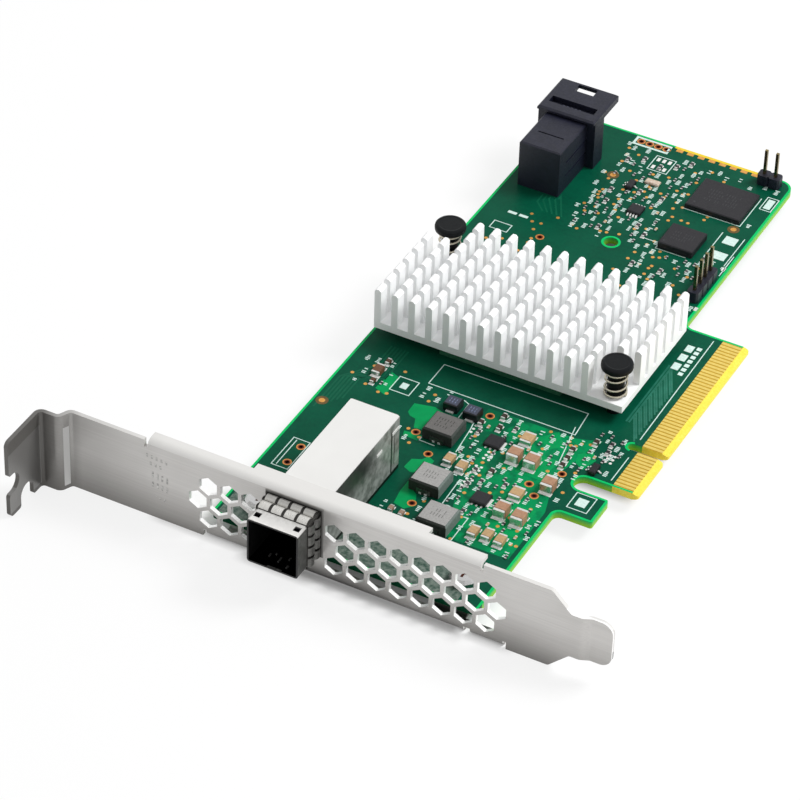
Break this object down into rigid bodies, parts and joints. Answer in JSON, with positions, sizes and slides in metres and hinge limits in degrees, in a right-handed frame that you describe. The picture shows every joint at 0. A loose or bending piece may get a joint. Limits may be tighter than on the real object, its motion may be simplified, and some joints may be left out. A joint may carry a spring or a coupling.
{
  "type": "host bus adapter",
  "caption": "Plug-in server card with a gold edge connector, a vented folded bracket, an external and an internal port, and a pin-fin heat sink held by sprung push pins.",
  "frame": {"origin": "on the contact edge of the board, at the middle of the key notch, on the component face", "axes": "+X from the board's top edge to its contact edge, the way the card goes into its slot; +Y from the bracket to the board's rear edge; +Z out of the component side"},
  "size_m": [0.1209, 0.1696, 0.0184],
  "materials": {
    "solder_mask": "satin green solder mask over copper",
    "gold_plating": "bright gold plating",
    "bracket_steel": "plated sheet, faint brushing",
    "screw_steel": "plated",
    "cage_metal": "bright tinned sheet",
    "spring_steel": "bright spring sheet and wire",
    "port_plastic": "moulded black plastic",
    "sink_aluminium": "clear anodised, matt",
    "pad_rubber": "soft grey pad",
    "chip_plastic": "moulded chip compound",
    "chip_lid_metal": "plated lid",
    "chip_carrier": "green laminate",
    "pin_plastic": "black nylon",
    "inductor_powder": "pressed grey powder",
    "tinned_metal": "tinned",
    "capacitor_ceramic": "tan fired ceramic",
    "resistor_film": "black glazed film",
    "tantalum_case": "moulded dark case"
  },
  "bodies": {
    "root": {"circuit_board": "solder_mask", "edge_contacts_top": "gold_plating", "edge_contacts_bottom": "gold_plating", "bracket": "bracket_steel", "bracket_screws": "screw_steel", "external_port_cage": "cage_metal", "external_port_housing": "port_plastic", "external_port_contacts": "gold_plating", "external_port_spring_collar": "spring_steel", "internal_port_housing": "port_plastic", "internal_port_tongues": "port_plastic", "internal_port_contacts": "gold_plating", "controller_substrate": "chip_carrier", "controller_lid": "chip_lid_metal", "thermal_pad": "pad_rubber", "heat_sink": "sink_aluminium", "push_pin_front": "pin_plastic", "push_pin_rear": "pin_plastic", "push_pin_spring_front": "spring_steel", "push_pin_spring_rear": "spring_steel", "inductor_1": "inductor_powder", "inductor_2": "inductor_powder", "inductor_3": "inductor_powder", "inductor_terminals": "tinned_metal", "tantalum_capacitor_1": "tantalum_case", "tantalum_capacitor_2": "tantalum_case", "regulator_chip_1": "chip_plastic", "regulator_chip_2": "chip_plastic", "memory_chip": "chip_plastic", "flash_chip": "chip_plastic", "sensor_chip": "chip_plastic", "sensor_chip_leads": "tinned_metal", "transistor_1": "chip_plastic", "transistor_2": "chip_plastic", "transistor_leads": "tinned_metal", "resistor_array": "capacitor_ceramic", "rear_header_base": "port_plastic", "rear_header_posts": "gold_plating", "side_header_base": "port_plastic", "side_header_posts": "gold_plating", "tall_capacitor_bodies": "capacitor_ceramic", "tall_capacitor_end_caps": "tinned_metal", "flat_capacitor_bodies": "capacitor_ceramic", "flat_capacitor_end_caps": "tinned_metal", "medium_capacitor_bodies": "capacitor_ceramic", "medium_capacitor_end_caps": "tinned_metal", "small_capacitor_bodies": "capacitor_ceramic", "small_capacitor_end_caps": "tinned_metal", "resistor_bodies": "resistor_film", "resistor_end_caps": "tinned_metal"}
  },
  "joints": []
}
